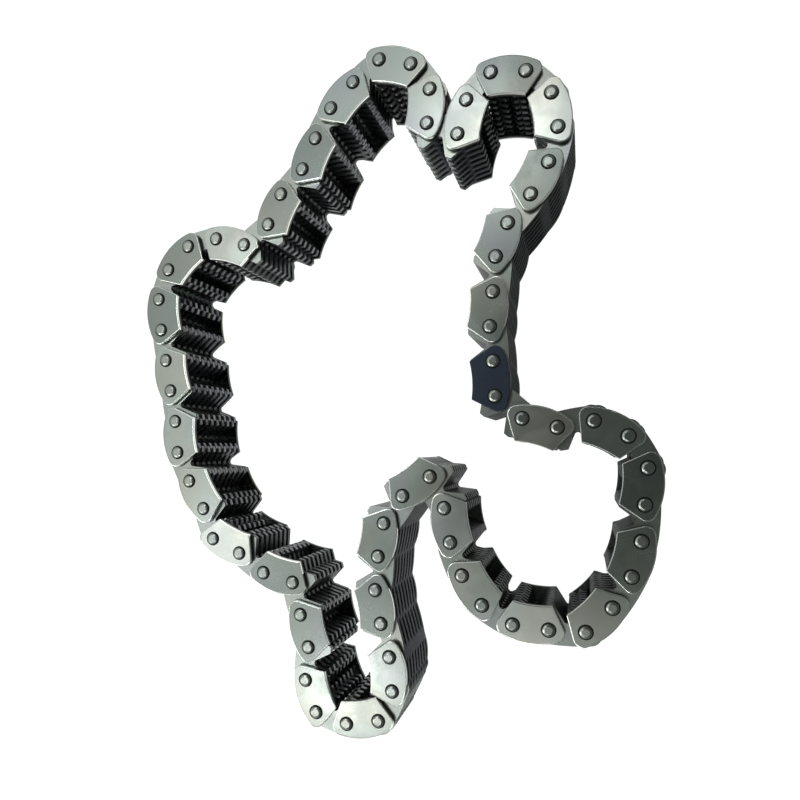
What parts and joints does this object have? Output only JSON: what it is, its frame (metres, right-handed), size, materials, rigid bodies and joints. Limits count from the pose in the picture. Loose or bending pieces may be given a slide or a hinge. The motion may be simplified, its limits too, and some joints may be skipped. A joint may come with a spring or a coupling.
{
  "type": "silent chain",
  "caption": "Endless silent chain for a pump drive: interleaved toothed plates turning on riveted pins between plain guide plates, laid in a loose wavy loop.",
  "frame": {"origin": "centre of the pins' box, on the plane that the lower pin ends stand on", "axes": "+Z along the pins, +X to the right and +Y away from the viewer in the picture"},
  "size_m": [0.1513, 0.1979, 0.0307],
  "materials": {
    "steel": "satin, bare heat-treated steel",
    "dark_plate": "satin, near-black blue coating"
  },
  "bodies": {
    "guide_link_00": {"guide_link_00": "steel"},
    "links_01_to_02": {"links_01_to_02": "steel"},
    "knuckle_link_03": {"knuckle_link_03": "steel"},
    "guide_link_04": {"guide_link_04": "steel"},
    "knuckle_link_05": {"knuckle_link_05": "steel"},
    "links_06_to_07": {"links_06_to_07": "steel"},
    "guide_link_08": {"guide_link_08": "steel"},
    "links_09_to_11": {"links_09_to_11": "steel"},
    "guide_link_12": {"guide_link_12": "steel"},
    "knuckle_link_13": {"knuckle_link_13": "steel"},
    "guide_link_14": {"guide_link_14": "steel"},
    "knuckle_link_15": {"knuckle_link_15": "steel"},
    "guide_link_16": {"guide_link_16": "steel"},
    "links_17_to_19": {"links_17_to_19": "steel"},
    "guide_link_20": {"guide_link_20": "steel"},
    "links_21_to_22": {"links_21_to_22": "steel"},
    "knuckle_link_23": {"knuckle_link_23": "steel"},
    "guide_link_24": {"guide_link_24": "steel"},
    "knuckle_link_25": {"knuckle_link_25": "steel"},
    "guide_link_26": {"guide_link_26": "steel"},
    "knuckle_link_27": {"knuckle_link_27": "steel"},
    "links_28_to_29": {"links_28_to_29": "steel"},
    "guide_link_30": {"guide_link_30": "steel"},
    "knuckle_link_31": {"knuckle_link_31": "steel"},
    "guide_link_32": {"guide_link_32": "steel"},
    "knuckle_link_33": {"knuckle_link_33": "steel"},
    "guide_link_34": {"guide_link_34": "steel"},
    "knuckle_link_35": {"knuckle_link_35": "steel"},
    "guide_link_36": {"guide_link_36": "steel"},
    "knuckle_link_37": {"knuckle_link_37": "steel"},
    "guide_link_38": {"guide_link_38": "steel"},
    "links_39_to_40": {"links_39_to_40": "steel"},
    "knuckle_link_41": {"knuckle_link_41": "steel"},
    "links_42_to_43": {"links_42_to_43": "steel"},
    "guide_link_44": {"guide_link_44": "steel"},
    "knuckle_link_45": {"knuckle_link_45": "steel"},
    "guide_link_46": {"guide_link_46": "steel"},
    "links_47_to_48": {"links_47_to_48": "steel"},
    "knuckle_link_49": {"knuckle_link_49": "steel"},
    "guide_link_50": {"guide_link_50": "steel"},
    "knuckle_link_51": {"knuckle_link_51": "steel"},
    "guide_link_52": {"guide_link_52": "steel"},
    "knuckle_link_53": {"knuckle_link_53": "steel"},
    "guide_link_54": {"guide_link_54": "steel"},
    "knuckle_link_55": {"knuckle_link_55": "steel"},
    "guide_link_56": {"guide_link_56": "steel"},
    "knuckle_link_57": {"knuckle_link_57": "steel"},
    "links_58_to_59": {"links_58_to_59": "steel"},
    "guide_link_60": {"guide_link_60": "steel"},
    "knuckle_link_61": {"knuckle_link_61": "steel"},
    "guide_link_62": {"guide_link_62": "steel"},
    "knuckle_link_63": {"knuckle_link_63": "steel"},
    "guide_link_64": {"guide_link_64": "steel"},
    "links_65_to_66": {"links_65_to_66": "steel"},
    "knuckle_link_67": {"knuckle_link_67": "steel"},
    "links_68_to_69": {"links_68_to_69": "steel", "marked_guide_plate": "dark_plate"}
  },
  "joints": [
    {"name": "pin_39", "type": "hinge", "parent": "links_39_to_40", "child": "guide_link_38", "pos_m": [-0.06869, 0.01084, 0.01535], "axis": [0, 0, 1], "range_deg": [-40, 40]},
    {"name": "pin_38", "type": "hinge", "parent": "guide_link_38", "child": "knuckle_link_37", "pos_m": [-0.06704, 0.00146, 0.01535], "axis": [0, 0, 1], "range_deg": [-40, 40]},
    {"name": "pin_37", "type": "hinge", "parent": "knuckle_link_37", "child": "guide_link_36", "pos_m": [-0.06539, -0.00792, 0.01535], "axis": [0, 0, 1], "range_deg": [-40, 40]},
    {"name": "pin_36", "type": "hinge", "parent": "guide_link_36", "child": "knuckle_link_35", "pos_m": [-0.06456, -0.01741, 0.01535], "axis": [0, 0, 1], "range_deg": [-40, 40]},
    {"name": "pin_35", "type": "hinge", "parent": "knuckle_link_35", "child": "guide_link_34", "pos_m": [-0.06053, -0.02604, 0.01535], "axis": [0, 0, 1], "range_deg": [-25, 25]},
    {"name": "pin_34", "type": "hinge", "parent": "guide_link_34", "child": "knuckle_link_33", "pos_m": [-0.05577, -0.03429, 0.01535], "axis": [0, 0, 1], "range_deg": [-25, 25]},
    {"name": "pin_33", "type": "hinge", "parent": "knuckle_link_33", "child": "guide_link_32", "pos_m": [-0.05251, -0.04324, 0.01535], "axis": [0, 0, 1], "range_deg": [-5, 15]},
    {"name": "pin_32", "type": "hinge", "parent": "guide_link_32", "child": "knuckle_link_31", "pos_m": [-0.04388, -0.04726, 0.01535], "axis": [0, 0, 1], "range_deg": [-15, 5]},
    {"name": "pin_31", "type": "hinge", "parent": "knuckle_link_31", "child": "guide_link_30", "pos_m": [-0.03607, -0.05273, 0.01535], "axis": [0, 0, 1], "range_deg": [-25, 40]},
    {"name": "pin_30", "type": "hinge", "parent": "guide_link_30", "child": "links_28_to_29", "pos_m": [-0.02687, -0.05519, 0.01535], "axis": [0, 0, 1], "range_deg": [-40, 25]},
    {"name": "pin_28", "type": "hinge", "parent": "links_28_to_29", "child": "knuckle_link_27", "pos_m": [-0.02194, -0.07359, 0.01535], "axis": [0, 0, 1], "range_deg": [-10, 40]},
    {"name": "pin_27", "type": "hinge", "parent": "knuckle_link_27", "child": "guide_link_26", "pos_m": [-0.02277, -0.08308, 0.01535], "axis": [0, 0, 1], "range_deg": [-40, 10]},
    {"name": "pin_26", "type": "hinge", "parent": "guide_link_26", "child": "knuckle_link_25", "pos_m": [-0.01952, -0.09203, 0.01535], "axis": [0, 0, 1], "range_deg": [-10, 5]},
    {"name": "pin_25", "type": "hinge", "parent": "knuckle_link_25", "child": "guide_link_24", "pos_m": [-0.01032, -0.0945, 0.01535], "axis": [0, 0, 1], "range_deg": [-5, 10]},
    {"name": "pin_24", "type": "hinge", "parent": "guide_link_24", "child": "knuckle_link_23", "pos_m": [-0.00093, -0.09284, 0.01535], "axis": [0, 0, 1], "range_deg": [-30, 5]},
    {"name": "pin_23", "type": "hinge", "parent": "knuckle_link_23", "child": "links_21_to_22", "pos_m": [0.00309, -0.08421, 0.01535], "axis": [0, 0, 1], "range_deg": [-5, 30]},
    {"name": "pin_21", "type": "hinge", "parent": "links_21_to_22", "child": "guide_link_20", "pos_m": [-0.0002, -0.06552, 0.01535], "axis": [0, 0, 1], "range_deg": [-40, 40]},
    {"name": "pin_20", "type": "hinge", "parent": "guide_link_20", "child": "links_17_to_19", "pos_m": [-0.00186, -0.05614, 0.01535], "axis": [0, 0, 1], "range_deg": [-40, 40]},
    {"name": "pin_17", "type": "hinge", "parent": "links_17_to_19", "child": "guide_link_16", "pos_m": [0.00609, -0.02947, 0.01535], "axis": [0, 0, 1], "range_deg": [-30, 0]},
    {"name": "pin_16", "type": "hinge", "parent": "guide_link_16", "child": "knuckle_link_15", "pos_m": [0.01389, -0.02401, 0.01535], "axis": [0, 0, 1], "range_deg": [0, 30]},
    {"name": "pin_15", "type": "hinge", "parent": "knuckle_link_15", "child": "guide_link_14", "pos_m": [0.01792, -0.03264, 0.01535], "axis": [0, 0, 1], "range_deg": [-10, 20]},
    {"name": "pin_14", "type": "hinge", "parent": "guide_link_14", "child": "knuckle_link_13", "pos_m": [0.01957, -0.04202, 0.01535], "axis": [0, 0, 1], "range_deg": [-20, 10]},
    {"name": "pin_13", "type": "hinge", "parent": "knuckle_link_13", "child": "guide_link_12", "pos_m": [0.02283, -0.05097, 0.01535], "axis": [0, 0, 1], "range_deg": [0, 20]},
    {"name": "pin_12", "type": "hinge", "parent": "guide_link_12", "child": "links_09_to_11", "pos_m": [0.02829, -0.05877, 0.01535], "axis": [0, 0, 1], "range_deg": [-20, 0]},
    {"name": "pin_09", "type": "hinge", "parent": "links_09_to_11", "child": "guide_link_08", "pos_m": [0.05555, -0.06437, 0.01535], "axis": [0, 0, 1], "range_deg": [-30, 0]},
    {"name": "pin_08", "type": "hinge", "parent": "guide_link_08", "child": "links_06_to_07", "pos_m": [0.06229, -0.05763, 0.01535], "axis": [0, 0, 1], "range_deg": [0, 30]},
    {"name": "pin_06", "type": "hinge", "parent": "links_06_to_07", "child": "knuckle_link_05", "pos_m": [0.06952, -0.04018, 0.01535], "axis": [0, 0, 1], "range_deg": [-10, 40]},
    {"name": "pin_05", "type": "hinge", "parent": "knuckle_link_05", "child": "guide_link_04", "pos_m": [0.07035, -0.03069, 0.01535], "axis": [0, 0, 1], "range_deg": [-40, 10]},
    {"name": "pin_04", "type": "hinge", "parent": "guide_link_04", "child": "knuckle_link_03", "pos_m": [0.07118, -0.0212, 0.01535], "axis": [0, 0, 1], "range_deg": [-25, 25]},
    {"name": "pin_03", "type": "hinge", "parent": "knuckle_link_03", "child": "links_01_to_02", "pos_m": [0.06641, -0.01295, 0.01535], "axis": [0, 0, 1], "range_deg": [-25, 25]},
    {"name": "pin_01", "type": "hinge", "parent": "links_01_to_02", "child": "guide_link_00", "pos_m": [0.0484, -0.01058, 0.01535], "axis": [0, 0, 1], "range_deg": [-10, 5]},
    {"name": "pin_41", "type": "hinge", "parent": "links_39_to_40", "child": "knuckle_link_41", "pos_m": [-0.07118, 0.02971, 0.01535], "axis": [0, 0, 1], "range_deg": [-35, 35]},
    {"name": "pin_42", "type": "hinge", "parent": "knuckle_link_41", "child": "links_42_to_43", "pos_m": [-0.06792, 0.03866, 0.01535], "axis": [0, 0, 1], "range_deg": [-35, 35]},
    {"name": "pin_44", "type": "hinge", "parent": "links_42_to_43", "child": "guide_link_44", "pos_m": [-0.0518, 0.04705, 0.01535], "axis": [0, 0, 1], "range_deg": [-25, 40]},
    {"name": "pin_45", "type": "hinge", "parent": "guide_link_44", "child": "knuckle_link_45", "pos_m": [-0.0426, 0.04459, 0.01535], "axis": [0, 0, 1], "range_deg": [-40, 25]},
    {"name": "pin_46", "type": "hinge", "parent": "knuckle_link_45", "child": "guide_link_46", "pos_m": [-0.0348, 0.05005, 0.01535], "axis": [0, 0, 1], "range_deg": [-30, 5]},
    {"name": "pin_47", "type": "hinge", "parent": "guide_link_46", "child": "links_47_to_48", "pos_m": [-0.03078, 0.05868, 0.01535], "axis": [0, 0, 1], "range_deg": [-5, 30]},
    {"name": "pin_49", "type": "hinge", "parent": "links_47_to_48", "child": "knuckle_link_49", "pos_m": [-0.02002, 0.07405, 0.01535], "axis": [0, 0, 1], "range_deg": [-25, 35]},
    {"name": "pin_50", "type": "hinge", "parent": "knuckle_link_49", "child": "guide_link_50", "pos_m": [-0.01525, 0.0823, 0.01535], "axis": [0, 0, 1], "range_deg": [-35, 25]},
    {"name": "pin_51", "type": "hinge", "parent": "guide_link_50", "child": "knuckle_link_51", "pos_m": [-0.00852, 0.08903, 0.01535], "axis": [0, 0, 1], "range_deg": [-30, 0]},
    {"name": "pin_52", "type": "hinge", "parent": "knuckle_link_51", "child": "guide_link_52", "pos_m": [-0.00072, 0.0945, 0.01535], "axis": [0, 0, 1], "range_deg": [0, 30]},
    {"name": "pin_53", "type": "hinge", "parent": "guide_link_52", "child": "knuckle_link_53", "pos_m": [0.00849, 0.09203, 0.01535], "axis": [0, 0, 1], "range_deg": [0, 20]},
    {"name": "pin_54", "type": "hinge", "parent": "knuckle_link_53", "child": "guide_link_54", "pos_m": [0.01395, 0.08423, 0.01535], "axis": [0, 0, 1], "range_deg": [-20, 0]},
    {"name": "pin_55", "type": "hinge", "parent": "guide_link_54", "child": "knuckle_link_55", "pos_m": [0.01312, 0.07474, 0.01535], "axis": [0, 0, 1], "range_deg": [-5, 15]},
    {"name": "pin_56", "type": "hinge", "parent": "knuckle_link_55", "child": "guide_link_56", "pos_m": [0.02175, 0.07072, 0.01535], "axis": [0, 0, 1], "range_deg": [-15, 5]},
    {"name": "pin_57", "type": "hinge", "parent": "guide_link_56", "child": "knuckle_link_57", "pos_m": [0.02422, 0.07992, 0.01535], "axis": [0, 0, 1], "range_deg": [-30, 0]},
    {"name": "pin_58", "type": "hinge", "parent": "knuckle_link_57", "child": "links_58_to_59", "pos_m": [0.03095, 0.08665, 0.01535], "axis": [0, 0, 1], "range_deg": [0, 30]},
    {"name": "pin_60", "type": "hinge", "parent": "links_58_to_59", "child": "guide_link_60", "pos_m": [0.04718, 0.07909, 0.01535], "axis": [0, 0, 1], "range_deg": [-10, 20]},
    {"name": "pin_61", "type": "hinge", "parent": "guide_link_60", "child": "knuckle_link_61", "pos_m": [0.04883, 0.06971, 0.01535], "axis": [0, 0, 1], "range_deg": [-20, 10]},
    {"name": "pin_62", "type": "hinge", "parent": "knuckle_link_61", "child": "guide_link_62", "pos_m": [0.04636, 0.06051, 0.01535], "axis": [0, 0, 1], "range_deg": [-25, 35]},
    {"name": "pin_63", "type": "hinge", "parent": "guide_link_62", "child": "knuckle_link_63", "pos_m": [0.0416, 0.05226, 0.01535], "axis": [0, 0, 1], "range_deg": [-35, 25]},
    {"name": "pin_64", "type": "hinge", "parent": "knuckle_link_63", "child": "guide_link_64", "pos_m": [0.03548, 0.04496, 0.01535], "axis": [0, 0, 1], "range_deg": [-35, 35]},
    {"name": "pin_65", "type": "hinge", "parent": "guide_link_64", "child": "links_65_to_66", "pos_m": [0.03222, 0.03601, 0.01535], "axis": [0, 0, 1], "range_deg": [-35, 35]},
    {"name": "pin_67", "type": "hinge", "parent": "links_65_to_66", "child": "knuckle_link_67", "pos_m": [0.03056, 0.01703, 0.01535], "axis": [0, 0, 1], "range_deg": [-40, 40]},
    {"name": "pin_68", "type": "hinge", "parent": "knuckle_link_67", "child": "links_68_to_69", "pos_m": [0.03139, 0.00754, 0.01535], "axis": [0, 0, 1], "range_deg": [-40, 40]}
  ],
  "couplings": [
    {"joint": "pin_45", "follows": "pin_44", "ratio": -1},
    {"joint": "pin_31", "follows": "pin_44", "ratio": 1},
    {"joint": "pin_30", "follows": "pin_44", "ratio": -1},
    {"joint": "pin_25", "follows": "pin_26", "ratio": -1},
    {"joint": "pin_01", "follows": "pin_26", "ratio": 1},
    {"joint": "pin_42", "follows": "pin_41", "ratio": -1},
    {"joint": "pin_64", "follows": "pin_41", "ratio": 1},
    {"joint": "pin_65", "follows": "pin_41", "ratio": -1},
    {"joint": "pin_54", "follows": "pin_53", "ratio": -1},
    {"joint": "pin_13", "follows": "pin_53", "ratio": 1},
    {"joint": "pin_12", "follows": "pin_53", "ratio": -1},
    {"joint": "pin_37", "follows": "pin_67", "ratio": 1},
    {"joint": "pin_36", "follows": "pin_67", "ratio": -1},
    {"joint": "pin_68", "follows": "pin_67", "ratio": -1},
    {"joint": "pin_52", "follows": "pin_51", "ratio": -1},
    {"joint": "pin_17", "follows": "pin_51", "ratio": 1},
    {"joint": "pin_16", "follows": "pin_51", "ratio": -1},
    {"joint": "pin_27", "follows": "pin_28", "ratio": -1},
    {"joint": "pin_06", "follows": "pin_28", "ratio": 1},
    {"joint": "pin_05", "follows": "pin_28", "ratio": -1},
    {"joint": "pin_34", "follows": "pin_35", "ratio": -1},
    {"joint": "pin_04", "follows": "pin_35", "ratio": 1},
    {"joint": "pin_03", "follows": "pin_35", "ratio": -1},
    {"joint": "pin_50", "follows": "pin_49", "ratio": -1},
    {"joint": "pin_62", "follows": "pin_49", "ratio": 1},
    {"joint": "pin_63", "follows": "pin_49", "ratio": -1},
    {"joint": "pin_58", "follows": "pin_57", "ratio": -1},
    {"joint": "pin_09", "follows": "pin_57", "ratio": 1},
    {"joint": "pin_08", "follows": "pin_57", "ratio": -1},
    {"joint": "pin_47", "follows": "pin_46", "ratio": -1},
    {"joint": "pin_24", "follows": "pin_46", "ratio": 1},
    {"joint": "pin_23", "follows": "pin_46", "ratio": -1},
    {"joint": "pin_38", "follows": "pin_39", "ratio": -1},
    {"joint": "pin_21", "follows": "pin_39", "ratio": 1},
    {"joint": "pin_20", "follows": "pin_39", "ratio": -1},
    {"joint": "pin_61", "follows": "pin_60", "ratio": -1},
    {"joint": "pin_15", "follows": "pin_60", "ratio": 1},
    {"joint": "pin_14", "follows": "pin_60", "ratio": -1},
    {"joint": "pin_32", "follows": "pin_33", "ratio": -1},
    {"joint": "pin_55", "follows": "pin_33", "ratio": 1},
    {"joint": "pin_56", "follows": "pin_33", "ratio": -1}
  ]
}
